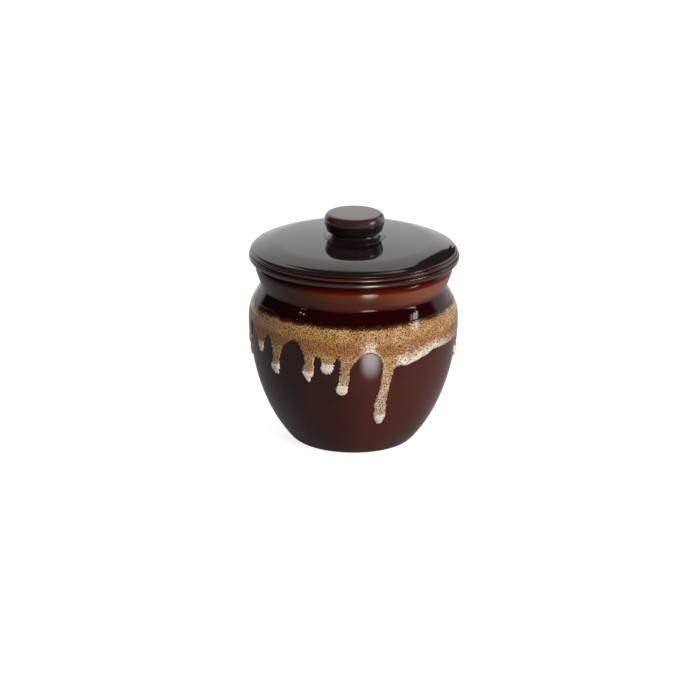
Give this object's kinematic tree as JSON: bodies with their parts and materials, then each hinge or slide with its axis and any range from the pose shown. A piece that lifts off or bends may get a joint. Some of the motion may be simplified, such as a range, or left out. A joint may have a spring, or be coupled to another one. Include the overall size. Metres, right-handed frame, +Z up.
{
  "type": "lidded jar",
  "caption": "Round-bellied glazed stoneware jar with a flared lip, pale runs of poured glaze and a lift-off domed lid with a knob, for dry or pickled food.",
  "frame": {"origin": "centre of the ring it stands on, on the table plane", "axes": "+Z up the jar's axis, -Y towards the front of the long runs"},
  "size_m": [0.086, 0.086, 0.095],
  "materials": {
    "brown_glaze": "glossy dark brown iron glaze over stoneware",
    "run_glaze": "glossy speckled tan run glaze, cream at its tips"
  },
  "bodies": {
    "jar": {"jar_body": "brown_glaze", "drip_glaze": "run_glaze"},
    "lid": {"lid": "brown_glaze", "lid_knob": "brown_glaze"}
  },
  "joints": [
    {"name": "lid_lift", "type": "slide", "parent": "jar", "child": "lid", "axis": [0, 0, 1], "range_m": [0, 0.06]}
  ]
}
